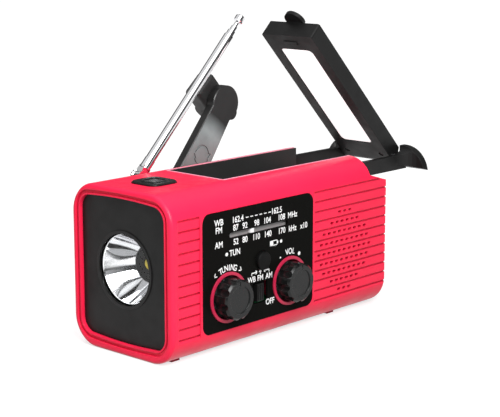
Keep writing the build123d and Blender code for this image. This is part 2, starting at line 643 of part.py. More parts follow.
def lamp_bracket():
    """Slide-out bracket: two rails, flared cheeks and an end plate that continues the casing's outline."""
    span = casing_body(0, CHEEK_X0, PLATE_X1)
    plan_points = []
    side_points = []
    steps = 8
    for step in range(steps + 1):
        share = sin(step / steps * pi / 2)
        rise = 1 - cos(step / steps * pi / 2)
        x = CHEEK_X0 + (PLATE_X0 - CHEEK_X0) * share
        plan_points.append((x, RAIL_Y1 + (CASE_W / 2 - RAIL_Y1) * rise))
        side_points.append((x, RAIL_Z1 + (CASE_H - RAIL_Z1) * rise))
    half_plan = [(CHEEK_X0, 0), *plan_points, (PLATE_X1 + 1, CASE_W / 2), (PLATE_X1 + 1, 0)]
    plan = make_face(Polyline(*half_plan, close=True))
    plan = extrude(plan, amount=99) + extrude(mirror(plan, about=Plane.XZ), amount=99)
    side = [(CHEEK_X0, 50), *side_points, (PLATE_X1 + 1, CASE_H), (PLATE_X1 + 1, 50)]
    side = extrude(Plane(origin=(0, CASE_W, 0), x_dir=(1, 0, 0), z_dir=(0, -1, 0)) * make_face(
        Polyline(*side, close=True)), amount=2 * CASE_W)
    closed_cut = Pos(SLIDE, 0, 0) * shoulder_cut(0.4, CUT_X - 4, X_RIGHT + 3)
    head = span & plan & side & closed_cut
    head = head - block(CHEEK_X0 - 1, PLATE_X0, -RAIL_Y0, RAIL_Y0, 0, 99)
    head = head - block(PLATE_X0 - 1, PLATE_X1 + 1, -RAIL_Y0 + 1.2, RAIL_Y0 - 1.2, HINGE_Z - 1.4, 99)
    head = head - block(PLATE_X0 - 1, PLATE_X1 + 1, -RAIL_Y0 + 1.2, RAIL_Y0 - 1.2, 0, RAIL_Z0 + 2.0)
    for side_sign in (-1, 1):
        y0 = min(side_sign * RAIL_Y0, side_sign * RAIL_Y1)
        y1 = max(side_sign * RAIL_Y0, side_sign * RAIL_Y1)
        head = head + block(RAIL_X0, PLATE_X0 + 0.5, y0, y1, RAIL_Z0, RAIL_Z1)
    for side_sign in (-1, 1):
        y0 = min(side_sign * RAIL_Y0, side_sign * 19.0)
        y1 = max(side_sign * RAIL_Y0, side_sign * 19.0)
        head = head - rod_y(HINGE_X, HINGE_Z, HINGE_PIN_R, y0, y1)
    return head


def hinge_pins():
    """Two short pins that carry the lamp in the bracket's cheeks."""
    front = rod_y(HINGE_X, HINGE_Z, HINGE_PIN_R, -19.0, -12.4)
    back = rod_y(HINGE_X, HINGE_Z, HINGE_PIN_R, 12.4, 19.0)
    return Compound(children=[front, back])


def tilted(shape):
    """Place a lamp piece, drawn flat with its hinge at the origin and its tip towards -X."""
    return Pos(HINGE_X, 0, HINGE_Z) * Rot(0, LAMP_TILT, 0) * shape


def lamp_housing():
    """Lamp housing: a shallow tray with a lit window below and a bed for the solar panel above."""
    corners = [(0, -LAMP_BELOW), (-LAMP_LEN, -LAMP_BELOW), (-LAMP_LEN, LAMP_ABOVE)]
    corners = corners + [(-0.6, LAMP_ABOVE), (1.3, 2.25)]
    outline = Polyline(*corners) + ThreePointArc((1.3, 2.25), (LAMP_BELOW, 0), (0, -LAMP_BELOW))
    side_plane = Plane(origin=(0, LAMP_HALF, 0), x_dir=(1, 0, 0), z_dir=(0, -1, 0))
    body = extrude(side_plane * make_face(outline), amount=2 * LAMP_HALF)
    tip = body.faces().sort_by(Axis.X)[0]
    body = fillet(tip.edges().filter_by(Axis.Z), 1.0)
    floor = LAMP_WALL - LAMP_BELOW
    far = LAMP_WALL - LAMP_LEN
    body = body - block(far + 1, -9, -LAMP_HALF + LAMP_WALL + 1, LAMP_HALF - LAMP_WALL - 1, floor, 9)
    body = body - block(far, -8, -LAMP_HALF + LAMP_WALL, LAMP_HALF - LAMP_WALL, LAMP_ABOVE - 1.7, 9)
    window = RectangleRounded(WINDOW_FAR - WINDOW_NEAR, 2 * WINDOW_HALF, 2.4)
    body = body - extrude(Pos(-(WINDOW_FAR + WINDOW_NEAR) / 2, 0, -5) * window, amount=9)
    for y in (-10.0, 10.0):
        body = body - rod_z(-4.2, y, 1.3, -9, -1.4)
    for side_sign in (-1, 1):
        y0 = min(side_sign * 12.2, side_sign * 99)
        y1 = max(side_sign * 12.2, side_sign * 99)
        body = body - rod_y(0, 0, HINGE_PIN_R + 0.05, y0, y1)
    tab_plan = Pos(-LAMP_LEN - 0.4, 0) * Circle(4.8) & Pos(-LAMP_LEN - 1.9, 0) * Rectangle(7, 12)
    tab = extrude(Pos(0, 0, LAMP_ABOVE + 0.3) * tab_plan, amount=1.7)
    root = block(-LAMP_LEN, -LAMP_LEN + 1.5, -3.6, 3.6, LAMP_ABOVE - 0.5, LAMP_ABOVE + 1.6)
    catch = Pos(-LAMP_LEN + 5, 0, -LAMP_BELOW) * Box(2.4, 7, 0.6)
    return tilted(body + tab + root + catch)


def lamp_diffuser():
    """Milky window of the reading lamp, stepped so that it sits just below the housing's underside."""
    length = WINDOW_FAR - WINDOW_NEAR
    middle = -(WINDOW_FAR + WINDOW_NEAR) / 2
    floor = LAMP_WALL - LAMP_BELOW
    pane = RectangleRounded(length - 0.1, 2 * WINDOW_HALF - 0.1, 2.3)
    pane = extrude(Pos(middle, 0, -LAMP_BELOW + 0.5) * pane, amount=LAMP_WALL - 0.5)
    flange = RectangleRounded(length + 2.4, 2 * WINDOW_HALF + 2.4, 3)
    return tilted(pane + extrude(Pos(middle, 0, floor) * flange, amount=0.8))


def lamp_board():
    """Narrow board with the lamp's LEDs in a row."""
    board = block(-80, -10.5, -9, 9, 1.6, 2.8)
    for index in range(6):
        x = -17.0 - 10.6 * index
        board = board + block(x - 1.4, x + 1.4, -1.4, 1.4, 0.9, 1.6)
    return tilted(board)


def solar_panel():
    """Solar panel let into the lamp's upper side."""
    far = LAMP_WALL - LAMP_LEN
    return tilted(block(far + 0.1, -8.1, -LAMP_HALF + LAMP_WALL + 0.1, LAMP_HALF - LAMP_WALL - 0.1,
                        LAMP_ABOVE - 1.7, LAMP_ABOVE - 0.1))


def lamp_screws():
    """Two screws that close the lamp at its hinge end."""
    screws = []
    for y in (-10.0, 10.0):
        screws.append(tilted(rod_z(-4.2, y, 1.2, -LAMP_BELOW + 0.4, -1.4)))
    return Compound(children=screws)


# ---- crank --------------------------------------------------------------------------------------------
def along_arm(shape):
    """Place a crank piece, drawn with the hub at the origin and the arm along +X."""
    return Pos(CRANK_X, 0, CRANK_Z) * Rot(0, -CRANK_ANGLE, 0) * shape


def at_tip(shape):
    """Place a grip piece, drawn with its hinge along +X at the origin, on the arm's end."""
    return Pos(CRANK_LEN, 0, 0) * Rot(0, GRIP_SKEW, 0) * shape


def turn_mark():
    """Two curved arrows that show how the crank turns."""
    ring = Circle(4.9) - Circle(3.9) - Pos(0, 0) * Rectangle(2.4, 12)
    head = make_face(Polyline((0, 1.5), (2.3, 0), (0, -1.5), close=True))
    return ring + Pos(-1.4, 4.4) * head + Pos(1.4, -4.4) * Rot(0, 0, 180) * head


def crank_arm():
    """Crank arm: a tapered bar with a round hub, a round end and a lug for the grip."""
    half_hub = ARM_W_HUB / 2
    half_tip = ARM_W_TIP / 2
    bar = Polyline((0, -half_hub), (CRANK_LEN, -half_tip), (CRANK_LEN, half_tip), (0, half_hub), close=True)
    plane = facing_front(0, 0, ARM_Y0 + ARM_T)
    face = make_face(bar) + Circle(half_hub + 1) + Pos(CRANK_LEN, 0) * Circle(ARM_END_R)
    face = face + Pos(CRANK_LEN - 1.2, -5.8) * Circle(3.3)
    arm = extrude(plane * face, amount=ARM_T)
    outer_edges = arm.faces().sort_by(Axis.Y)[0].edges()
    arm = chamfer(outer_edges, 0.4)
    lug = rod_x(GRIP_AXIS_Y, 0, LUG_R, -LUG_HALF, LUG_HALF)
    web = block(-LUG_HALF, LUG_HALF, ARM_Y0 + ARM_T - 1, GRIP_AXIS_Y, -LUG_R, LUG_R)
    arm = arm + at_tip(lug + web)
    arm = arm - at_tip(rod_x(GRIP_AXIS_Y, 0, GRIP_PIN_R, -9, 9))
    arm = arm - rod_y(0, 0, CRANK_SHAFT_R, 20, ARM_Y0 + ARM_T - 0.8)
    mark = Pos(46, 0) * Rot(0, 0, 25) * turn_mark()
    return along_arm(arm - extrude(facing_front(0, 0, ARM_Y0 + 0.4) * mark, amount=1))


def crank_grip():
    """Folding grip: a short rounded handle, slotted at its root for the arm's lug."""
    half = GRIP_W / 2
    thick = GRIP_R - 0.2
    body = block(-half, half, GRIP_AXIS_Y - thick, GRIP_AXIS_Y + thick, 0, GRIP_LEN)
    body = fillet(body.edges().filter_by(Axis.Z), 2.0)
    body = fillet(body.faces().sort_by(Axis.Z)[-1].edges(), 1.6)
    grip = body + rod_x(GRIP_AXIS_Y, 0, thick, -half, half)
    slot = LUG_HALF + 0.2
    grip = grip - block(-slot, slot, 0, 99, -9, LUG_R + 1.0)
    return along_arm(at_tip(grip - rod_x(GRIP_AXIS_Y, 0, GRIP_PIN_R + 0.06, -9, 9)))


def grip_pin():
    """Pin that the grip folds on."""
    return along_arm(at_tip(rod_x(GRIP_AXIS_Y, 0, GRIP_PIN_R, -GRIP_W / 2, GRIP_W / 2)))


def crank_shaft():
    """Shaft from the crank's hub through the rear shell to the crank wheel."""
    return rod_y(CRANK_X, CRANK_Z, CRANK_SHAFT_R, GEARPLATE_Y0 + GEARPLATE_T + 0.4, ARM_Y0 + ARM_T - 0.8)


def crank_bearing():
    """Bronze bush in the rear shell."""
    bush = rod_y(CRANK_X, CRANK_Z, 4.6, 24.8, 28.9)
    return bush - rod_y(CRANK_X, CRANK_Z, CRANK_SHAFT_R + 0.05, 20, 40)


# ---- gear train ---------------------------------------------------------------------------------------
def involute(angle):
    """Involute function of a pressure angle."""
    return tan(angle) - angle


def gear_outline(module, teeth, first_tooth):
    """Spur gear outline with involute flanks; a tooth is centred on the first_tooth direction (degrees)."""
    pitch_r = module * teeth / 2
    base_r = pitch_r * cos(PRESSURE)
    root_r = pitch_r - 1.05 * module
    tip_r = pitch_r + 0.8 * module
    half_at_pitch = pi / (2 * teeth) - BACKLASH / (2 * pitch_r)
    start_r = max(base_r, root_r + 0.05 * module)
    flank = []
    for step in range(6):
        radius = start_r + (tip_r - start_r) * step / 5
        pressure_here = acos(min(1.0, base_r / radius))
        half = half_at_pitch + involute(PRESSURE) - involute(pressure_here)
        flank.append((radius, half))
    points = []
    for tooth in range(teeth):
        centre = radians(first_tooth) + 2 * pi * tooth / teeth
        gap_half = flank[0][1]
        points.append((root_r * cos(centre - gap_half), root_r * sin(centre - gap_half)))
        for radius, half in flank:
            points.append((radius * cos(centre - half), radius * sin(centre - half)))
        for radius, half in reversed(flank):
            points.append((radius * cos(centre + half), radius * sin(centre + half)))
        points.append((root_r * cos(centre + gap_half), root_r * sin(centre + gap_half)))
    return make_face(Polyline(*points, close=True))


def spur_gear(x, z, module, teeth, first_tooth, y0, y1):
    """A spur gear with its axis along Y."""
    return extrude(facing_front(x, z, y1) * gear_outline(module, teeth, first_tooth), amount=y1 - y0)


def crank_wheel():
    """Large wheel on the crank's shaft, with lightening holes."""
    back = WHEEL_Y0 + WHEEL_T
    wheel = spur_gear(CRANK_X, CRANK_Z, CRANK_MODULE, CRANK_TEETH, IDLER_DIRECTION, WHEEL_Y0, back)
    wheel = wheel + rod_y(CRANK_X, CRANK_Z, 5.4, WHEEL_Y0 - 1.4, back + 0.5)
    for index in range(6):
        angle = radians(60 * index)
        wheel = wheel - rod_y(CRANK_X + 11.5 * cos(angle), CRANK_Z + 11.5 * sin(angle), 3.6, 0, 40)
    return wheel - rod_y(CRANK_X, CRANK_Z, CRANK_SHAFT_R, 0, 40)


def idler_gear():
    """Two-step idler: the small gear meets the crank wheel, the large one drives the pinion."""
    first_tooth = IDLER_DIRECTION + 180 + 180.0 / IDLER_SMALL_TEETH
    step_y = FAST_Y0 + FAST_T
    back = WHEEL_Y0 + WHEEL_T + 0.4
    small = spur_gear(IDLER_X, IDLER_Z, CRANK_MODULE, IDLER_SMALL_TEETH, first_tooth, step_y, back)
    large = spur_gear(IDLER_X, IDLER_Z, FAST_MODULE, IDLER_LARGE_TEETH, PINION_DIRECTION, FAST_Y0, step_y)
    return small + large - rod_y(IDLER_X, IDLER_Z, 1.56, 0, 40)


def idler_axle():
    """Steel axle of the idler, fixed between the gearbox plate and the rear shell."""
    return rod_y(IDLER_X, IDLER_Z, 1.5, GEARPLATE_Y0, Y_BACK - WALL + 0.5)


def generator_pinion():
    """Brass pinion on the generator's shaft."""
    first_tooth = PINION_DIRECTION + 180 + 180.0 / PINION_TEETH
    back = FAST_Y0 + FAST_T + 0.4
    pinion = spur_gear(PINION_X, PINION_Z, FAST_MODULE, PINION_TEETH, first_tooth, FAST_Y0 - 0.3, back)
    return pinion - rod_y(PINION_X, PINION_Z, 1.0, 0, 40)


def generator_rotor():
    """Shaft and magnet of the generator."""
    shaft = rod_y(PINION_X, PINION_Z, 1.0, 0, FAST_Y0 + FAST_T + 0.4)
    return shaft + rod_y(PINION_X, PINION_Z, 7.0, 1.2, 10.4)


def generator_case():
    """Round can of the generator, bolted under the gearbox plate."""
    can = rod_y(PINION_X, PINION_Z, 12.0, -1.4, GEARPLATE_Y0)
    can = can - rod_y(PINION_X, PINION_Z, 10.8, 0.4, 11.4)
    return can - rod_y(PINION_X, PINION_Z, 1.08, -0.6, 40)


def gearbox_plate():
    """Plate that holds the generator and the idler's axle, on four posts from the rear shell."""
    back = GEARPLATE_Y0 + GEARPLATE_T
    plate = block(-46, 34, GEARPLATE_Y0, back, 12.6, 54.5)
    for x in (-43.0, 31.0):
        for z in (15.6, 51.5):
            plate = plate + rod_y(x, z, 2.4, back, Y_BACK - WALL)
    plate = plate - block(-14, 24, 0, 40, 42.5, 56)
    plate = plate - rod_y(IDLER_X, IDLER_Z, 1.5, 0, 20)
    return plate - rod_y(PINION_X, PINION_Z, 3.6, 0, 20)


# ---- power and radio pieces ---------------------------------------------------------------------------
def battery_pack():
    """Flat rechargeable battery in the bottom compartment."""
    pack = block(-30, 24, -16.8, 12.6, 3.4, 12.0)
    return fillet(pack.edges().filter_by(Axis.X), 2.0)


def battery_door():
    """Door in the underside, flush with it and held by one screw."""
    door = block(-DOOR_HALF_X, DOOR_HALF_X, -DOOR_HALF_Y, DOOR_HALF_Y, 0, DOOR_T)
    for x in (-26.0, -22.0, -18.0):
        door = door - block(x, x + 1.4, -8, 8, -1, 0.5)
    return door - rod_z(DOOR_SCREW_X, 0, 1.2, -1, 9) - rod_z(DOOR_SCREW_X, 0, 2.2, -1, 0.9)


def door_screw():
    """Countersunk screw of the battery door."""
    head = rod_z(DOOR_SCREW_X, 0, 2.1, 0.2, 0.9)
    slot = block(DOOR_SCREW_X - 2, DOOR_SCREW_X + 2, -0.3, 0.3, 0, 0.5)
    return head - slot + rod_z(DOOR_SCREW_X, 0, 1.0, 0.9, 3.0)


def ferrite_aerial():
    """Ferrite rod of the medium-wave aerial, with its coil of fine wire."""
    coil = rod_x(6, 49.5, 5.0, -18, 4) - rod_x(6, 49.5, 4.0, -40, 40)
    return Compound(children=[rod_x(6, 49.5, 4.0, -30, 30), coil])


def port_board():
    """Charging board with its two sockets behind the port opening."""
    board = block(34, 52, 20.4, 22.0, 10, 34)
    left = block(35.2, 43.0, 22.0, 27.2, 13.2, 19.6)
    left = left - block(35.8, 42.4, 23.5, 28, 13.8, 19.0)
    right = block(44.6, 50.8, 22.0, 27.2, 14.4, 18.4)
    right = right - block(45.2, 50.2, 23.5, 28, 15.0, 17.8)
    return board + left + right


def port_cover():
    """Rubber cover over the ports, hinged at its lower edge, with a pull tab."""
    outer_y = Y_BACK - BAND_DEPTH
    x1 = PORT_X1 - 0.3
    z1 = PORT_Z1 - 0.3
    plate = rounded_slab(PORT_X0 + 0.3, x1, PORT_Z0 + 0.3, z1, 1.2, outer_y - 1.1, outer_y)
    tab = rounded_slab(x1 - 5.2, x1 - 1.2, z1 - 2.3, z1 - 0.5, 0.6, outer_y - 0.2, Y_BACK + 0.2)
    bead = rod_x(Y_BACK - 0.6, PORT_Z0 + 0.5, 0.45, PORT_X0 + 1.6, PORT_X1 - 1.6)
    return plate + tab + bead


# ---- antenna ------------------------------------------------------------------------------------------
def raised(shape):
    """Place an antenna piece, drawn with its pivot at the origin and the rod along +X."""
    return Pos(ANTENNA_X, ANTENNA_Y, ANTENNA_Z) * Rot(0, -ANTENNA_ANGLE, 0) * shape


def antenna_pin():
    """Metal fork let into the casing, with the riveted pin that the antenna's knuckle turns on."""
    y0 = ANTENNA_Y - 2.45
    y1 = ANTENNA_Y + 2.45
    fork = block(ANTENNA_X - 2.8, ANTENNA_X + 2.8, y0, y1, ANTENNA_Z - 3.35, ANTENNA_Z)
    fork = fork + rod_y(ANTENNA_X, ANTENNA_Z, 2.8, y0, y1)
    fork = fork - block(ANTENNA_X - 9, ANTENNA_X + 9, y0 + 0.7, y1 - 0.7, ANTENNA_Z - 2.6, 99)
    pin = rod_y(ANTENNA_X, ANTENNA_Z, 1.0, y0 - 0.4, y1 + 0.4)
    return fork + pin + rod_y(ANTENNA_X, ANTENNA_Z, 1.5, y1, y1 + 0.4)


def antenna_section(index):
    """One tube of the antenna; the first one ends in the knuckle, the last is a rod with the end button."""
    radius = ANTENNA_RADII[index]
    start = 8.0 if index == 0 else 10.0 + index
    end = ANTENNA_BASE_LEN + ANTENNA_STEP * index
    tube = rod_x(0, 0, radius, start, end)
    if index < len(ANTENNA_RADII) - 1:
        tube = tube - rod_x(0, 0, radius - ANTENNA_WALL, 9.5, end + 1)
    if index == 0:
        knuckle = block(0, 5, -1.7, 1.7, -2.0, 2.0) + rod_y(0, 0, 2.4, -1.7, 1.7)
        tube = tube + rod_x(0, 0, 2.35, 4.0, 9.0) + knuckle - rod_y(0, 0, 1.05, -9, 9)
    if index == len(ANTENNA_RADII) - 1:
        button = rod_x(0, 0, 2.2, end, end + 3.4)
        tube = tube + chamfer(button.edges(), 0.5)
    return raised(tube)


# ---- write every node ---------------------------------------------------------------------------------
def main():
    os.makedirs("parts", exist_ok=True)
    shell = casing_shell()
    nodes = {
        "front_case": front_case(shell), "rear_case": rear_case(shell), "case_screws": case_screws(),
        "foot_pads": foot_pads(), "torch_panel": torch_panel(), "torch_bezel": torch_bezel(),
        "torch_lens": torch_lens(), "torch_reflector": torch_reflector(), "torch_led": torch_led(),
        "control_panel": control_panel(), "knob_wells": knob_wells(),
        "tuning_knob": knob(TUNING_X, 72), "volume_knob": knob(VOLUME_X, 66),
        "tuning_shaft": knob_shaft(TUNING_X), "volume_shaft": knob_shaft(VOLUME_X),
        "tuning_capacitor": tuning_capacitor(), "volume_control": volume_control(),
        "dial_strip": dial_strip(), "dial_pointer": dial_pointer(),
        "mode_button": mode_button(), "mode_switch": mode_switch(),
        "band_slider": band_slider(), "band_switch": band_switch(),
        "main_board": main_board(),
        "speaker_frame": speaker_frame(), "speaker_cone": speaker_cone(), "speaker_magnet": speaker_magnet(),
        "light_button": light_button(), "light_switch": light_switch(),
        "bay_tray": bay_tray(), "lamp_bracket": lamp_bracket(), "hinge_pins": hinge_pins(),
        "lamp_housing": lamp_housing(), "lamp_diffuser": lamp_diffuser(), "lamp_board": lamp_board(),
        "solar_panel": solar_panel(), "lamp_screws": lamp_screws(),
        "crank_arm": crank_arm(), "crank_grip": crank_grip(), "grip_pin": grip_pin(),
        "crank_shaft": crank_shaft(), "crank_bearing": crank_bearing(), "crank_wheel": crank_wheel(),
        "idler_gear": idler_gear(), "idler_axle": idler_axle(), "generator_pinion": generator_pinion(),
        "generator_rotor": generator_rotor(), "generator_case": generator_case(),
        "gearbox_plate": gearbox_plate(), "battery_pack": battery_pack(),
        "battery_door": battery_door(), "door_screw": door_screw(), "ferrite_aerial": ferrite_aerial(),
        "port_board": port_board(), "port_cover": port_cover(), "antenna_pin": antenna_pin(),
    }
    for index in range(len(ANTENNA_RADII)):
        nodes[f"antenna_section_{index + 1}"] = antenna_section(index)
    for name, shape in nodes.items():
        save(name, shape)


main()
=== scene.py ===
"""Looks of the emergency radio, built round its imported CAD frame."""
import bpy
import bmesh
import json
from math import cos, pi, radians, sin
from mathutils import Matrix, Vector
from mathutils.bvhtree import BVHTree


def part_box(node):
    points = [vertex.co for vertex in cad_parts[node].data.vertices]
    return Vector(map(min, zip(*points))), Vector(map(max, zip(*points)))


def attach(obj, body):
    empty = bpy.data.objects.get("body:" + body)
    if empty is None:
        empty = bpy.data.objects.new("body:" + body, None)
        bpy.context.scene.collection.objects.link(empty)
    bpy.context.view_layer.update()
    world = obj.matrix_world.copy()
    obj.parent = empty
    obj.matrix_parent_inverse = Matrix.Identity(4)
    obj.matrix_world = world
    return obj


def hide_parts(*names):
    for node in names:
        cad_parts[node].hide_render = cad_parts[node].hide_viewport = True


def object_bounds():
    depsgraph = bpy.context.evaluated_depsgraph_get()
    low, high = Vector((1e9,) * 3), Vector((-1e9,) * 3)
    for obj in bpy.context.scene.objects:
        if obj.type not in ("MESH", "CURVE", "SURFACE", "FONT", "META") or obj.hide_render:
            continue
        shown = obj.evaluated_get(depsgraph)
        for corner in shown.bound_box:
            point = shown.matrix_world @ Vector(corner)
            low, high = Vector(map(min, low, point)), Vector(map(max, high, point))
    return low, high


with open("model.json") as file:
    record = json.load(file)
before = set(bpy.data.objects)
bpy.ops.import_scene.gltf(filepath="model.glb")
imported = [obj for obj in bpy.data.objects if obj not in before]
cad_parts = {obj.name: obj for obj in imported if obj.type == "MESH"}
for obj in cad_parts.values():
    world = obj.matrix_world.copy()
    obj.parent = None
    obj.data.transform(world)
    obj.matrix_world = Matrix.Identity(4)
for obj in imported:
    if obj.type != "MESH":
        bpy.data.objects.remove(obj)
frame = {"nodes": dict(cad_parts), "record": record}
CAD_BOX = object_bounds()
NODES = frame["nodes"]
MM = 0.001

# ---- places read from the frame ----------------------------------------------------------------
FASCIA_LOW, FASCIA_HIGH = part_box("control_panel")
FASCIA_Y = FASCIA_LOW.y
TUNING_LOW, TUNING_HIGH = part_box("tuning_knob")
VOLUME_LOW, VOLUME_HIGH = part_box("volume_knob")
KNOB_Z = (TUNING_LOW.z + TUNING_HIGH.z) / 2
TUNING_X = (TUNING_LOW.x + TUNING_HIGH.x) / 2
VOLUME_X = (VOLUME_LOW.x + VOLUME_HIGH.x) / 2
BAND_LOW, BAND_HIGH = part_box("band_slider")
BAND_X = (BAND_LOW.x + BAND_HIGH.x) / 2
DIAL_X0 = FASCIA_LOW.x + 15.4 * MM
DIAL_Z = FASCIA_HIGH.z - 10.4 * MM
PRINT_LIFT = 0.03 * MM
PRINT_HEIGHT = 2.5 * MM
PRINT_STROKE = 0.42 * MM
CHEVRON_LEAN = 0.62
FONT_SCALE = 1.38  # font size for a capital of unit height
FONT_NARROWING = 0.88
FONT_EMBOLDENING = 0.06 * MM
PRINT_THICKNESS = 0.01 * MM


# ---- objects and joints ------------------------------------------------------------------------
def placed(name, mesh):
    """An object of a mesh, linked into the scene."""
    piece = bpy.data.objects.new(name, mesh)
    bpy.context.scene.collection.objects.link(piece)
    return piece


def meshed(name, made):
    """A mesh written from a finished bmesh, which is freed."""
    mesh = bpy.data.meshes.new(name)
    made.to_mesh(mesh)
    made.free()
    return mesh


def joint_entry(name):
    """The record's entry of a joint."""
    return next(joint for joint in frame["record"]["behaviour"]["joints"] if joint["name"] == name)


# ---- node helpers ------------------------------------------------------------------------------
class Shader:
    """A node material being built round one Principled BSDF."""

    def __init__(self, name):
        self.material = bpy.data.materials.new(name)
        self.material.use_nodes = True
        self.tree = self.material.node_tree
        self.bsdf = self.tree.nodes["Principled BSDF"]

    def node(self, kind, **settings):
        """A new node with its settings."""
        made = self.tree.nodes.new(kind)
        for key, value in settings.items():
            setattr(made, key, value)
        return made

    def link(self, source, target):
        """Join an output to an input."""
        self.tree.links.new(source, target)

    def set(self, **values):
        """Set the shader's own sockets to constants."""
        for key, value in values.items():
            self.bsdf.inputs[key.replace("_", " ")].default_value = value

    def noise(self, scale, detail=3.0, roughness=0.5, vector=None):
        """Fine noise in the object's own space."""
        made = self.node("ShaderNodeTexNoise")
        made.inputs["Scale"].default_value = scale
        made.inputs["Detail"].default_value = detail
        made.inputs["Roughness"].default_value = roughness
        self.link(vector or self.coordinates(), made.inputs["Vector"])
        return made.outputs["Fac"]

    def coordinates(self):
        """Coordinates that move with the piece."""
        return self.node("ShaderNodeTexCoord").outputs["Object"]

    def stretched(self, scale):
        """Coordinates stretched along each axis."""
        mapping = self.node("ShaderNodeMapping")
        mapping.inputs["Scale"].default_value = scale
        self.link(self.coordinates(), mapping.inputs["Vector"])
        return mapping.outputs["Vector"]

    def ramp(self, value, low, high, from_low=0.35, from_high=0.65):
        """A value rescaled from one range to another."""
        made = self.node("ShaderNodeMapRange")
        made.inputs["From Min"].default_value = from_low
        made.inputs["From Max"].default_value = from_high
        made.inputs["To Min"].default_value = low
        made.inputs["To Max"].default_value = high
        self.link(value, made.inputs["Value"])
        return made.outputs["Result"]

    def mix(self, factor, first, second):
        """A blend of two colours or sockets."""
        made = self.node("ShaderNodeMix", data_type="RGBA")
        for socket, value in ((made.inputs[6], first), (made.inputs[7], second)):
            if isinstance(value, tuple):
                socket.default_value = (*value, 1.0)
            else:
                self.link(value, socket)
        self.link(factor, made.inputs[0])
        return made.outputs[2]

    def bump(self, height, strength, distance, normal=None):
        """A normal raised by a height."""
        made = self.node("ShaderNodeBump")
        made.inputs["Strength"].default_value = strength
        made.inputs["Distance"].default_value = distance
        self.link(height, made.inputs["Height"])
        if normal is not None:
            self.link(normal, made.inputs["Normal"])
        return made.outputs["Normal"]

    def rounded_normal(self, radius):
        """A normal as if the edges had a small radius."""
        made = self.node("ShaderNodeBevel")
        made.samples = 4
        made.inputs["Radius"].default_value = radius
        return made.outputs["Normal"]

    def crevice(self, reach):
        """Near 0 deep in a groove or slot, 1 on open faces: ambient occlusion, used for painted
        shade.
        """
        made = self.node("ShaderNodeAmbientOcclusion")
        made.samples = 8
        made.inputs["Distance"].default_value = reach
        return self.ramp(made.outputs["AO"], 0.0, 1.0, 0.3, 0.85)

    def edge_mask(self, rounded, low=0.02, high=0.25):
        """Near 1 along sharp edges, where the rounded normal leans away, and 0 on flat faces."""
        dot = self.node("ShaderNodeVectorMath", operation="DOT_PRODUCT")
        self.link(rounded, dot.inputs[0])
        self.link(self.node("ShaderNodeNewGeometry").outputs["True Normal"], dot.inputs[1])
        lean = self.node("ShaderNodeMath", operation="SUBTRACT")
        lean.inputs[0].default_value = 1.0
        self.link(dot.outputs["Value"], lean.inputs[1])
        return self.ramp(lean.outputs[0], 0.0, 1.0, low, high)


def moulded(name, colour, worn, roughness, grain, depth,
            edge=0.25, gloss=0.3, shade=0.12, crease_shade=0.0):
    """Moulded plastic or rubber: fine grain, faint colour drift, handled edges, and painted shade
    that darkens the creases.
    """
    s = Shader(name)
    drift = s.noise(34.0, 2.0)
    darker = tuple(c * (1.0 - shade) for c in colour)
    base = s.mix(s.ramp(drift, 0.0, 1.0), colour, darker)
    rounded = s.rounded_normal(edge * MM)
    smudges = s.noise(160.0, 4.0)
    mask = s.edge_mask(rounded)
    broken = s.node("ShaderNodeMath", operation="MULTIPLY")
    s.link(mask, broken.inputs[0])
    s.link(s.ramp(smudges, 0.1, 0.6), broken.inputs[1])
    surface = s.mix(broken.outputs[0], base, worn)
    # painted shade: ambient occlusion darkens the colour deep in grooves and slots
    if crease_shade:
        deep = tuple(c * (1.0 - crease_shade) for c in colour)
        surface = s.mix(s.crevice(1.3 * MM), deep, surface)
    s.link(surface, s.bsdf.inputs["Base Color"])
    s.link(s.ramp(smudges, roughness - 0.05, roughness + 0.07), s.bsdf.inputs["Roughness"])
    s.link(s.bump(s.noise(grain, 2.0), 0.5, depth, rounded), s.bsdf.inputs["Normal"])
    s.set(Specular_IOR_Level=gloss)
    return s.material


def metal(name, colour, roughness=0.3):
    """Bare or plated metal brushed in one direction."""
    s = Shader(name)
    lines = s.noise(900.0, 4.0, 0.6, s.stretched((1.0, 6.0, 1.0)))
    cloud = s.noise(60.0, 2.0)
    tarnished = tuple(c * 0.86 for c in colour)
    s.link(s.mix(s.ramp(cloud, 0.0, 1.0), colour, tarnished), s.bsdf.inputs["Base Color"])
    s.link(s.ramp(lines, roughness * 0.7, roughness * 1.4), s.bsdf.inputs["Roughness"])
    s.link(s.bump(lines, 0.3, 0.01 * MM, s.rounded_normal(0.15 * MM)), s.bsdf.inputs["Normal"])
    s.set(Metallic=1.0)
    return s.material


def clear_lens():
    """Clear acrylic with faint dust."""
    s = Shader("clear_lens")
    dust = s.noise(900.0, 3.0)
    s.link(s.ramp(dust, 0.0, 0.02), s.bsdf.inputs["Roughness"])
    s.set(Base_Color=(0.97, 0.98, 0.98, 1.0), Transmission_Weight=1.0, IOR=1.2)
    return s.material


def chrome():
    """Mirror plating with slight waviness and fine handling marks."""
    s = Shader("chrome")
    marks = s.noise(1400.0, 3.0)
    s.link(s.ramp(marks, 0.03, 0.09), s.bsdf.inputs["Roughness"])
    cloud = s.mix(s.ramp(s.noise(80.0), 0.0, 1.0), (0.86, 0.86, 0.87), (0.8, 0.8, 0.82))
    s.link(cloud, s.bsdf.inputs["Base Color"])
    s.link(s.bump(s.noise(260.0, 1.0), 0.15, 0.01 * MM), s.bsdf.inputs["Normal"])
    s.set(Metallic=1.0)
    return s.material


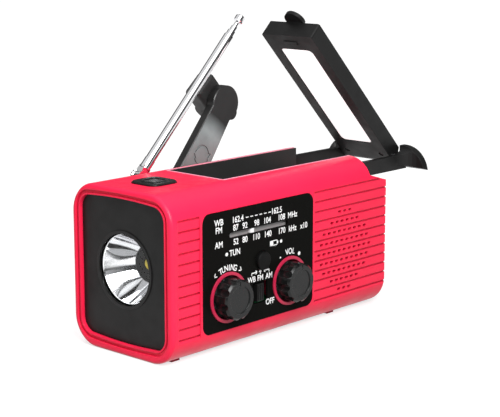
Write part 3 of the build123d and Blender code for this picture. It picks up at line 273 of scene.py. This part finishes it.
def diffuser():
    """Milky lamp window with a faint glow."""
    s = Shader("diffuser")
    cloud = s.noise(120.0, 2.0)
    milky = s.mix(s.ramp(cloud, 0.0, 1.0), (0.95, 0.95, 0.95), (0.9, 0.91, 0.92))
    s.link(milky, s.bsdf.inputs["Base Color"])
    s.link(s.ramp(s.noise(700.0), 0.3, 0.42), s.bsdf.inputs["Roughness"])
    s.link(s.bump(s.noise(2200.0), 0.3, 0.02 * MM), s.bsdf.inputs["Normal"])
    s.set(Emission_Color=(1.0, 1.0, 1.0, 1.0), Emission_Strength=0.8)
    return s.material


def crank_satin():
    """Satin black plastic, with a painted sheen: paler on the face of the crank arm towards its
    grip.
    """
    s = Shader("crank_satin")
    hub = Vector(joint_entry("crank_spin")["pos_m"])
    reach = s.node("ShaderNodeVectorMath", operation="DISTANCE")
    s.link(s.coordinates(), reach.inputs[0])
    reach.inputs[1].default_value = hub
    # the painted sheen is palest at this distance from the hub
    peak = 58.0 * MM
    rise = s.ramp(reach.outputs["Value"], 0.0, 1.0, 12.0 * MM, peak)
    fall = s.ramp(reach.outputs["Value"], 1.0, 0.0, peak, 66.0 * MM)
    painted_sheen = s.node("ShaderNodeMath", operation="MULTIPLY")
    s.link(rise, painted_sheen.inputs[0])
    s.link(fall, painted_sheen.inputs[1])
    smudges = s.noise(90.0, 4.0)
    facing = s.node("ShaderNodeVectorMath", operation="DOT_PRODUCT")
    s.link(s.node("ShaderNodeNewGeometry").outputs["True Normal"], facing.inputs[0])
    facing.inputs[1].default_value = (0.0, -1.0, 0.0)
    sheen_on_face = s.node("ShaderNodeMath", operation="MULTIPLY")
    s.link(painted_sheen.outputs[0], sheen_on_face.inputs[0])
    s.link(s.ramp(facing.outputs["Value"], 0.0, 1.0, 0.8, 1.0), sheen_on_face.inputs[1])
    # painted sheen: a pale grey on the arm's front face stands in for a reflection along it
    base = s.mix(sheen_on_face.outputs[0], (0.008, 0.008, 0.008), (0.31, 0.37, 0.37))
    patchy = s.mix(s.ramp(smudges, 0.0, 0.3), base, (0.03, 0.03, 0.03))
    s.link(patchy, s.bsdf.inputs["Base Color"])
    s.link(s.ramp(smudges, 0.3, 0.42), s.bsdf.inputs["Roughness"])
    grain = s.bump(s.noise(2400.0, 2.0), 0.5, 0.012 * MM, s.rounded_normal(0.3 * MM))
    s.link(grain, s.bsdf.inputs["Normal"])
    s.set(Specular_IOR_Level=0.35)
    return s.material


def grey(level):
    """A neutral colour."""
    return (level, level, level)


# colour, worn colour, roughness, the grain's scale and depth in mm, and what isn't a default value
PLASTICS = {
    # the red plastic is painted darker in its grooves, as shade
    "red_plastic": ((0.9, 0.017, 0.066), (0.95, 0.05, 0.12), 0.33, 2600.0, 0.012,
                    {"edge": 0.3, "gloss": 0.17, "shade": 0.06, "crease_shade": 0.45}),
    "black_plastic": (grey(0.006), grey(0.035), 0.45, 2200.0, 0.02, {"edge": 0.25, "gloss": 0.2}),
    "red_rubber": ((0.4, 0.012, 0.04), (0.5, 0.03, 0.07), 0.7, 1500.0, 0.03, {}),
    "bezel_black": (grey(0.006), grey(0.03), 0.45, 2600.0, 0.008, {"edge": 0.25, "gloss": 0.25}),
    "led_yellow": ((0.8, 0.62, 0.05), (0.85, 0.7, 0.1), 0.3, 1800.0, 0.01, {}),
    "led_board": ((0.75, 0.74, 0.7), (0.8, 0.8, 0.78), 0.5, 1800.0, 0.01, {}),
    "fascia": ((0.0045, 0.0045, 0.004), grey(0.015), 0.25, 3000.0, 0.003,
               {"edge": 0.2, "gloss": 0.012}),
    "well_red": ((0.5, 0.016, 0.06), (0.75, 0.06, 0.14), 0.35, 2400.0, 0.01, {}),
    "knob_grey": ((0.006, 0.0065, 0.0065), (0.11, 0.115, 0.115), 0.24, 1600.0, 0.02,
                  {"edge": 0.35, "gloss": 0.25}),
    "component_grey": ((0.2, 0.2, 0.21), grey(0.3), 0.5, 1800.0, 0.01, {}),
    "dial_grey": (grey(0.42), grey(0.5), 0.5, 2600.0, 0.006, {}),
    "pointer_white": (grey(0.9), grey(1.0), 0.4, 2600.0, 0.004, {}),
    "board_green": ((0.02, 0.16, 0.06), (0.04, 0.2, 0.08), 0.35, 1500.0, 0.01, {}),
    "speaker_paper": (grey(0.02), grey(0.05), 0.8, 900.0, 0.04, {}),
    "ferrite": ((0.05, 0.048, 0.045), grey(0.1), 0.6, 900.0, 0.03, {}),
    "solar_cell": ((0.006, 0.009, 0.03), (0.03, 0.03, 0.05), 0.14, 2600.0, 0.004,
                   {"edge": 0.2, "gloss": 0.5}),
    "gear_white": ((0.75, 0.74, 0.69), (0.85, 0.85, 0.8), 0.42, 1800.0, 0.01, {}),
    "battery_wrap": ((0.05, 0.15, 0.5), (0.1, 0.25, 0.6), 0.3, 1500.0, 0.01, {}),
    "button_black": (grey(0.004), grey(0.012), 0.5, 2200.0, 0.02, {"gloss": 0.08}),
    "bay_black": (grey(0.02), grey(0.05), 0.45, 2200.0, 0.02, {}),
    # pale pink for the rim of the lamp's bay: a painted highlight
    "highlight_pink": ((0.8, 0.3, 0.4), (0.9, 0.5, 0.58), 0.3, 2600.0, 0.006, {}),
    "black_rubber": (grey(0.02), grey(0.05), 0.7, 1500.0, 0.03, {}),
}
MATERIALS = {}
for plastic, (colour, worn, roughness, grain, depth_mm, others) in PLASTICS.items():
    MATERIALS[plastic] = moulded(plastic, colour, worn, roughness, grain, depth_mm * MM, **others)
MATERIALS["steel"] = metal("steel", (0.58, 0.58, 0.6))
MATERIALS["bronze"] = metal("bronze", (0.72, 0.5, 0.24))
MATERIALS["clear_lens"] = clear_lens()
MATERIALS["chrome"] = chrome()
MATERIALS["diffuser"] = diffuser()
MATERIALS["crank_satin"] = crank_satin()


OWN_FINISH = {"crank_arm": "crank_satin", "mode_button": "button_black", "grip_pin": "bezel_black",
              "bay_tray": "bay_black", "crank_grip": "bay_black", "lamp_screws": "bay_black"}


def dress_cad_nodes():
    """Give every carried-over CAD node the material of its slot, or a finish of its own."""
    for entry in frame["record"]["subparts"]:
        finish = OWN_FINISH.get(entry["node"], entry["material_slot"])
        for slot in NODES[entry["node"]].material_slots:
            slot.material = MATERIALS[finish]


# ---- torch reflector ---------------------------------------------------------------------------
def turned(name, profile, centre, segments=128):
    """A closed ring turned round the X axis through a centre, from (depth, radius) points."""
    made = bmesh.new()
    rings = []
    for depth, radius in profile:
        ring = []
        for step in range(segments):
            angle = 2 * pi * step / segments
            point = Vector((depth, radius * cos(angle), radius * sin(angle)))
            ring.append(made.verts.new(centre + point))
        rings.append(ring)
    for index, ring in enumerate(rings):
        following = rings[(index + 1) % len(rings)]
        for step in range(segments):
            after = (step + 1) % segments
            face = made.faces.new((ring[step], following[step], following[after], ring[after]))
            face.smooth = True
    bmesh.ops.remove_doubles(made, verts=made.verts, dist=1e-6)
    bmesh.ops.recalc_face_normals(made, faces=made.faces)
    return placed(name, meshed(name, made))


def torch_bowl():
    """Smooth plated reflector, open at the apex for the LED, with the LED in its collar."""
    low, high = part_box("torch_reflector")
    centre = Vector((low.x, (low.y + high.y) / 2, (low.z + high.z) / 2))
    rim_r = (high.y - low.y) / 2
    mouth_r = rim_r - 0.95 * MM
    throat_r = 3.4 * MM
    wall = 0.85 * MM
    rim_depth = 1.0 * MM
    depth = (high.x - low.x) / (1 - (throat_r / mouth_r) ** 2)
    inner = []
    steps = 48
    for step in range(steps + 1):
        radius = mouth_r + (throat_r - mouth_r) * step / steps
        inner.append((depth * (1 - (radius / mouth_r) ** 2), radius))
    outer = [(min(x, high.x - low.x), radius + wall) for x, radius in reversed(inner)]
    outer = [point for point in outer if point[0] > rim_depth]
    rim = [(rim_depth, rim_r), (0.0, rim_r)]
    piece = turned("torch_bowl", inner + outer + rim, centre)
    piece.data.materials.append(MATERIALS["chrome"])
    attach(piece, "casing")
    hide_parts("torch_reflector")
    # black collar in the throat, with the LED's yellow dome standing in it: depth and radius in mm
    collar = ((14.4, 2.8), (12.6, 2.8), (12.2, 3.3), (11.1, 6.7), (11.3, 7.2), (12.0, 6.8),
              (14.4, 3.6))
    dome = ((14.6, 0.0), (14.6, 2.5), (12.5, 2.5), (11.9, 2.2), (11.5, 1.3), (11.35, 0.0))
    for name, finish, slot, points in (("led_collar", "bezel_black", "bezel_black", collar),
                                       ("led_dome", "led_yellow", "led_board", dome)):
        piece = turned(name, [(x * MM, radius * MM) for x, radius in points], centre, 96)
        piece.data.materials.append(MATERIALS[finish])
        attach(piece, "casing")


# ---- printed legend on the fascia --------------------------------------------------------------
def facing_front(x, z):
    """Placement of a flat drawing on the fascia: first axis +X, second axis +Z, facing -Y."""
    return Matrix.Translation((x, FASCIA_Y - PRINT_LIFT, z)) @ Matrix.Rotation(pi / 2, 4, "X")


def text_mesh(words, x, z, height, turn=0.0):
    """Raised print of a few characters, centred on a point of the fascia."""
    curve = bpy.data.curves.new("legend", "FONT")
    curve.body = words
    curve.size = height * FONT_SCALE
    curve.align_x = "CENTER"
    curve.align_y = "CENTER"
    curve.extrude = PRINT_THICKNESS
    curve.offset = FONT_EMBOLDENING
    holder = bpy.data.objects.new("legend", curve)
    bpy.context.scene.collection.objects.link(holder)
    bpy.context.view_layer.update()
    graph = bpy.context.evaluated_depsgraph_get()
    mesh = bpy.data.meshes.new_from_object(holder.evaluated_get(graph))
    narrow = Matrix.Diagonal((FONT_NARROWING, 1.0, 1.0, 1.0))
    mesh.transform(facing_front(x, z) @ Matrix.Rotation(turn, 4, "Z") @ narrow)
    bpy.data.objects.remove(holder)
    return mesh


def bar_mesh(x, z, width, height, turn=0.0, corner=0.0):
    """A printed bar with its corners cut by a small arc."""
    made = bmesh.new()
    radius = max(corner, 0.02 * MM)
    ring = []
    for cx, cz, start in ((1, 1, 0), (-1, 1, 90), (-1, -1, 180), (1, -1, 270)):
        for step in range(5):
            angle = radians(start + 22.5 * step)
            px = cx * (width / 2 - radius) + radius * cos(angle)
            pz = cz * (height / 2 - radius) + radius * sin(angle)
            ring.append(made.verts.new((px, pz, PRINT_THICKNESS)))
    made.faces.new(ring)
    mesh = meshed("bar", made)
    mesh.transform(facing_front(x, z) @ Matrix.Rotation(turn, 4, "Z"))
    return mesh


def joined(name, meshes):
    """One object made of several meshes."""
    made = bmesh.new()
    for mesh in meshes:
        made.from_mesh(mesh)
        bpy.data.meshes.remove(mesh)
    return placed(name, meshed(name, made))


def arc_text(words, cx, cz, radius, middle, step, height):
    """Characters set on an arc round a knob."""
    meshes = []
    for index, letter in enumerate(words):
        angle = middle - step * (index - (len(words) - 1) / 2)
        x = cx + radius * cos(radians(angle))
        z = cz + radius * sin(radians(angle))
        meshes.append(text_mesh(letter, x, z, height, radians(angle - 90)))
    return meshes


def polar(cx, cz, radius, degrees):
    """A point on a circle round a knob."""
    return cx + radius * MM * cos(radians(degrees)), cz + radius * MM * sin(radians(degrees))


def chevron(x, z, turn, length=1.7):
    """An arrowhead of two short bars, pointing along its turn."""
    meshes = []
    for lean in (-1, 1):
        arm = Matrix.Rotation(turn, 2) @ Vector((-0.28 * length * MM, 0.42 * lean * MM))
        tilt = turn - lean * CHEVRON_LEAN
        meshes.append(bar_mesh(x + arm.x, z + arm.y, length * MM, PRINT_STROKE, tilt, 0.1 * MM))
    return meshes


def dial_print(size):
    """Frequency scales above and below the dial window."""
    meshes = []
    fm_row = (("87", 3.5), ("92", 8.9), ("98", 15.9), ("104", 22.2), ("108", 31.0), ("MHz", 37.9))
    am_row = (("52", 3.6), ("80", 8.9), ("110", 15.6), ("140", 22.6), ("170", 31.2), ("kHz", 38.0),
              ("x10", 45.2))
    wb_row = (("162.4", 4.7), ("162.5", 28.0))
    for entries, rise in ((fm_row, 2.75), (am_row, -3.0), (wb_row, 6.0)):
        for words, offset in entries:
            meshes.append(text_mesh(words, DIAL_X0 + offset * MM, DIAL_Z + rise * MM, size))
    row = DIAL_Z + 6.0 * MM
    for index in range(6):
        x = DIAL_X0 + (10.2 + 2.7 * index) * MM
        meshes.append(bar_mesh(x, row, 1.6 * MM, 0.38 * MM, 0, 0.1 * MM))
    for words, z in (("WB", row + 0.1 * MM), ("FM", DIAL_Z + 3.0 * MM), ("AM", DIAL_Z - 2.9 * MM)):
        meshes.append(text_mesh(words, DIAL_X0 - 6.2 * MM, z, size * 1.04))
    return meshes


def marks_print(size):
    """Indicator marks, knob legends and the band switch's legend."""
    meshes = []
    row = DIAL_Z - 7.3 * MM
    meshes.append(bar_mesh(DIAL_X0 - 1.8 * MM, row, 1.5 * MM, 1.5 * MM, 0, 0.74 * MM))
    meshes.append(text_mesh("TUN", DIAL_X0 + 3.0 * MM, row, size))
    # battery outline, half filled, and its lamp
    icon = DIAL_X0 + 26.2 * MM
    for side in (-1, 1):
        meshes.append(bar_mesh(icon, row + 0.95 * side * MM, 4.4 * MM, 0.34 * MM))
        meshes.append(bar_mesh(icon + 2.1 * side * MM, row, 0.34 * MM, 2.2 * MM))
    meshes.append(bar_mesh(icon + 2.55 * MM, row, 0.5 * MM, 1.1 * MM))
    meshes.append(bar_mesh(icon - 1.1 * MM, row, 1.7 * MM, 1.9 * MM))
    meshes.append(bar_mesh(icon + 4.6 * MM, row, 1.4 * MM, 1.4 * MM, 0, 0.69 * MM))
    # tuning knob: word between two turning arrows
    meshes.extend(arc_text("TUNING", TUNING_X, KNOB_Z, 12.0 * MM, 91, 8.2, size))
    for angle, turn in ((129, 217), (53, -37)):
        x, z = polar(TUNING_X, KNOB_Z, 12.4, angle)
        meshes.extend(chevron(x, z, radians(turn)))
    # volume knob: word between a small and a large dot, and the off mark
    meshes.extend(arc_text("VOL", VOLUME_X, KNOB_Z, 12.4 * MM, 88, 9.5, size))
    for angle, dot in ((118, 0.5), (60, 1.0)):
        x, z = polar(VOLUME_X, KNOB_Z, 12.2, angle)
        width = 1.6 * dot * MM
        meshes.append(bar_mesh(x, z, width, width, 0, dot * 0.79 * MM))
    meshes.append(text_mesh("OFF", VOLUME_X - 12.1 * MM, KNOB_Z - 6.6 * MM, size))
    # band switch: three bands under a forked bracket
    base = BAND_HIGH.z + 2.45 * MM
    for words, offset in (("WB", -5.1), ("FM", 0.1), ("AM", 5.4)):
        meshes.append(text_mesh(words, BAND_X + offset * MM, base, size * 0.96))
    for offset in (-5.1, 5.4):
        inward = 1 if offset < 0 else -1
        x = BAND_X + offset * MM
        meshes.append(bar_mesh(x, base + 2.3 * MM, PRINT_STROKE, 1.1 * MM))
        meshes.append(bar_mesh(x + 1.3 * inward * MM, base + 2.75 * MM, 2.9 * MM, PRINT_STROKE))
        turn = 0 if inward > 0 else pi
        meshes.extend(chevron(x + 3.0 * inward * MM, base + 2.75 * MM, turn, 1.0))
    meshes.append(bar_mesh(BAND_X + 0.1 * MM, base + 2.4 * MM, PRINT_STROKE, 1.5 * MM))
    meshes.extend(chevron(BAND_X + 0.1 * MM, base + 3.1 * MM, pi / 2, 0.8))
    return meshes


def fascia_print():
    """All the white print on the fascia, as one thin raised piece."""
    piece = joined("fascia_print", dial_print(PRINT_HEIGHT) + marks_print(PRINT_HEIGHT))
    piece.data.materials.append(MATERIALS["pointer_white"])
    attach(piece, "casing")


# ---- pale rim of the lamp's bay, a painted highlight -------------------------------------------
def bay_highlight_rim():
    """Fine pale rim along the long edges and the near end of the lamp's bay: a painted highlight
    on the bay's edge.
    """
    low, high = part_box("bay_tray")
    shells = [BVHTree.FromObject(NODES[name], bpy.context.evaluated_depsgraph_get())
              for name in ("front_case", "rear_case")]
    made = bmesh.new()
    half = 0.4 * MM
    out = 0.45 * MM
    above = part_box("light_button")[1].z + 0.05
    section = ((-1, -0.2), (-0.6, 0.2), (0.6, 0.2), (1, -0.2))

    def height(x, y):
        """Where a ray straight down first meets the casing."""
        hits = [shell.ray_cast(Vector((x, y, above)), Vector((0, 0, -1)))[0] for shell in shells]
        return max(hit.z for hit in hits if hit is not None)

    def rim(start, stop):
        """A low ridge with sloping sides from one point of the casing's top to another."""
        along = (stop - start).normalized()
        across = Vector((-along.y, along.x, 0)) * half
        rings = []
        count = 24
        for step in range(count + 1):
            at = start.lerp(stop, step / count)
            z = height(at.x, at.y)
            rings.append([made.verts.new((at.x + across.x * k, at.y + across.y * k, z + up * MM))
                          for k, up in section])
        for first, second in zip(rings, rings[1:]):
            for k in range(4):
                made.faces.new((first[k], first[(k + 1) % 4], second[(k + 1) % 4], second[k]))
        made.faces.new(rings[0])
        made.faces.new(list(reversed(rings[-1])))

    far_end = high.x - 0.5 * MM
    for y in (low.y - out, high.y + out):
        rim(Vector((low.x - out, y, 0)), Vector((far_end, y, 0)))
    rim(Vector((low.x - out, low.y, 0)), Vector((low.x - out, high.y, 0)))
    bmesh.ops.recalc_face_normals(made, faces=made.faces)
    piece = placed("bay_highlight_rim", meshed("bay_highlight_rim", made))
    # painted highlight: the pale pink stands in for a highlight along the bay's edge
    piece.data.materials.append(MATERIALS["highlight_pink"])
    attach(piece, "casing")


# ---- solar cells -------------------------------------------------------------------------------
def lamp_plane():
    """Placement of the lamp's own axes: tip along -X, upper side along +Z, hinge at the origin."""
    tilt = joint_entry("lamp_tilt")
    turn = Matrix.Rotation(radians(-tilt["range_deg"][0]), 4, "Y")
    return Matrix.Translation(tilt["pos_m"]) @ turn


def solar_grid():
    """Silver fingers and busbars printed on the solar panel."""
    place = lamp_plane()
    flat = [place.inverted() @ vertex.co for vertex in NODES["solar_panel"].data.vertices]
    x0, x1 = min(v.x for v in flat), max(v.x for v in flat)
    y1 = max(v.y for v in flat)
    top = max(v.z for v in flat) + 0.02 * MM
    made = bmesh.new()

    def strip(ax, bx, ay, by):
        """One printed rectangle."""
        corners = ((ax, ay), (bx, ay), (bx, by), (ax, by))
        made.faces.new([made.verts.new((x, y, top)) for x, y in corners])

    rows, fingers = 8, 5
    border, gap = 1.5 * MM, 0.35 * MM
    busbar_half, finger_half, seam_half = 0.3 * MM, 0.05 * MM, 0.18 * MM
    start = x0 + border
    pitch = (x1 - x0 - 2 * border) / rows
    for row in range(rows):
        left = start + pitch * row + gap
        right = start + pitch * (row + 1) - gap
        for y in (-0.45 * y1, 0.45 * y1):
            strip(left, right, y - busbar_half, y + busbar_half)
        for finger in range(fingers):
            x = left + (right - left) * (finger + 0.5) / fingers
            strip(x - finger_half, x + finger_half, -y1 + 1.2 * MM, y1 - 1.2 * MM)
    for row in range(rows + 1):
        x = start + pitch * row
        strip(x - seam_half, x + seam_half, -y1 + 0.8 * MM, y1 - 0.8 * MM)
    mesh = meshed("solar_grid", made)
    mesh.transform(place)
    piece = placed("solar_grid", mesh)
    mesh.materials.append(MATERIALS["steel"])
    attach(piece, "lamp")


# ---- floor, light, camera ----------------------------------------------------------------------
def make_floor():
    """White floor that glows, so that it ends without an edge in the white backdrop."""
    bpy.ops.mesh.primitive_plane_add(size=8, location=(0, 0, CAD_BOX[0][2]))
    floor = bpy.context.object
    floor.name = "floor"
    s = Shader("floor")
    cloud = s.mix(s.ramp(s.noise(3.0), 0.0, 1.0), (0.36, 0.36, 0.36), (0.34, 0.34, 0.34))
    s.link(cloud, s.bsdf.inputs["Base Color"])
    s.set(Roughness=0.8, Emission_Color=(1.0, 1.0, 1.0, 1.0))
    # bright to look at, but it throws little light up at the object
    path = s.node("ShaderNodeLightPath")
    glow = s.ramp(path.outputs["Is Diffuse Ray"], 0.72, 0.0, 0.0, 1.0)
    s.link(glow, s.bsdf.inputs["Emission Strength"])
    floor.data.materials.append(s.material)


def sun_light(name, towards, strength, spread, lights, mirrored):
    """A wide soft sun along a direction, which lights surfaces, is mirrored in them, or both."""
    data = bpy.data.lights.new(name, "SUN")
    data.energy = strength
    data.angle = radians(spread)
    lamp = bpy.data.objects.new(name, data)
    lamp.rotation_euler = Vector(towards).to_track_quat("-Z", "Y").to_euler()
    lamp.visible_diffuse = lights
    lamp.visible_glossy = mirrored
    bpy.context.scene.collection.objects.link(lamp)


def soft_box(name, place, watts, side):
    """A square soft light near the object, aimed at its middle."""
    data = bpy.data.lights.new(name, "AREA")
    data.energy = watts
    data.size = side
    lamp = bpy.data.objects.new(name, data)
    lamp.location = place
    aim = (Vector(CAD_BOX[0]) + Vector(CAD_BOX[1])) / 2 - Vector(place)
    lamp.rotation_euler = aim.to_track_quat("-Z", "Y").to_euler()
    bpy.context.scene.collection.objects.link(lamp)


def world_range(tree, value, **settings):
    """A Map Range node fed by a socket, with its other sockets set to numbers or linked."""
    made = tree.nodes.new("ShaderNodeMapRange")
    tree.links.new(value, made.inputs["Value"])
    for key, setting in settings.items():
        socket = made.inputs[key.replace("_", " ")]
        if isinstance(setting, float):
            socket.default_value = setting
        else:
            tree.links.new(setting, socket)
    return made.outputs["Result"]


def make_world():
    """White ceiling, darker walls and a bright floor line, as in a light tent with open sides."""
    world = bpy.data.worlds.new("studio")
    bpy.context.scene.world = world
    world.use_nodes = True
    tree = world.node_tree
    link = tree.links.new
    coordinates = tree.nodes.new("ShaderNodeTexCoord")
    split = tree.nodes.new("ShaderNodeSeparateXYZ")
    link(coordinates.outputs["Generated"], split.inputs[0])
    # height in the sky, with the grey of the tent there
    ramp = tree.nodes.new("ShaderNodeValToRGB")
    link(split.outputs["Z"], ramp.inputs["Fac"])
    stops = ((0.0, 0.9), (0.04, 0.55), (0.1, 0.12), (0.6, 0.16), (0.7, 1.0))
    while len(ramp.color_ramp.elements) < len(stops):
        ramp.color_ramp.elements.new(0.5)
    for element, (place, grey) in zip(ramp.color_ramp.elements, stops):
        element.position = place
        element.color = (grey, grey, grey, 1.0)
    # the side that the torch faces is left dark, so that its reflector shows clear bands
    side = world_range(tree, split.outputs["X"], From_Min=-0.5, From_Max=-0.25, To_Min=0.06)
    # behind the object the walls are grey, which gives the rods a grey edge
    scale = world_range(tree, split.outputs["Y"],
                        From_Min=0.0, From_Max=0.1, To_Min=side, To_Max=0.9)
    # both keep between the horizon, where the backdrop stays white, and the white ceiling
    for start, stop in ((0.1, 0.0), (0.62, 0.7)):
        wider = tree.nodes.new("ShaderNodeMath")
        wider.operation = "MAXIMUM"
        link(scale, wider.inputs[0])
        link(world_range(tree, split.outputs["Z"], From_Min=start, From_Max=stop), wider.inputs[1])
        scale = wider.outputs[0]
    shaded = tree.nodes.new("ShaderNodeVectorMath")
    shaded.operation = "SCALE"
    link(ramp.outputs["Color"], shaded.inputs[0])
    link(scale, shaded.inputs["Scale"])
    # seen directly, the backdrop is plain white
    path = tree.nodes.new("ShaderNodeLightPath")
    plain = tree.nodes.new("ShaderNodeMix")
    plain.data_type = "RGBA"
    link(path.outputs["Is Camera Ray"], plain.inputs[0])
    link(shaded.outputs["Vector"], plain.inputs[6])
    plain.inputs[7].default_value = (1.3, 1.3, 1.3, 1.0)
    link(plain.outputs[2], tree.nodes["Background"].inputs["Color"])
    tree.nodes["Background"].inputs["Strength"].default_value = 0.8


def make_light():
    """One sun that is only mirrored, three that only light, and a soft box before the front."""
    from_front = (0.3, 0.62, -0.72)
    sun_light("sheen", from_front, 1.2, 50, False, True)
    sun_light("key", from_front, 0.2, 50, True, False)
    soft_box("box", (-0.17, -0.28, 0.27), 1.9, 0.2)
    sun_light("fill", (0.85, 0.1, -0.5), 0.5, 60, True, False)
    sun_light("top", (0.05, -0.1, -1.0), 0.9, 40, True, False)


CAMERA_LENS = 103.55  # on a sensor 36 wide
CAMERA_PLACE = (-0.43957, -0.41185, 0.1732)
CAMERA_FORWARD = (0.7210, 0.6633, -0.2003)


def make_camera():
    """The camera fitted to the casing's edges in the photograph."""
    data = bpy.data.cameras.new("camera")
    data.lens = CAMERA_LENS
    data.sensor_width = 36.0
    camera = bpy.data.objects.new("camera", data)
    camera.location = CAMERA_PLACE
    camera.rotation_euler = Vector(CAMERA_FORWARD).to_track_quat("-Z", "Y").to_euler()
    bpy.context.scene.collection.objects.link(camera)
    bpy.context.scene.camera = camera
    bpy.context.scene.view_settings.view_transform = "Standard"


dress_cad_nodes()
torch_bowl()
bay_highlight_rim()
fascia_print()
solar_grid()
make_floor()
make_world()
make_light()
make_camera()
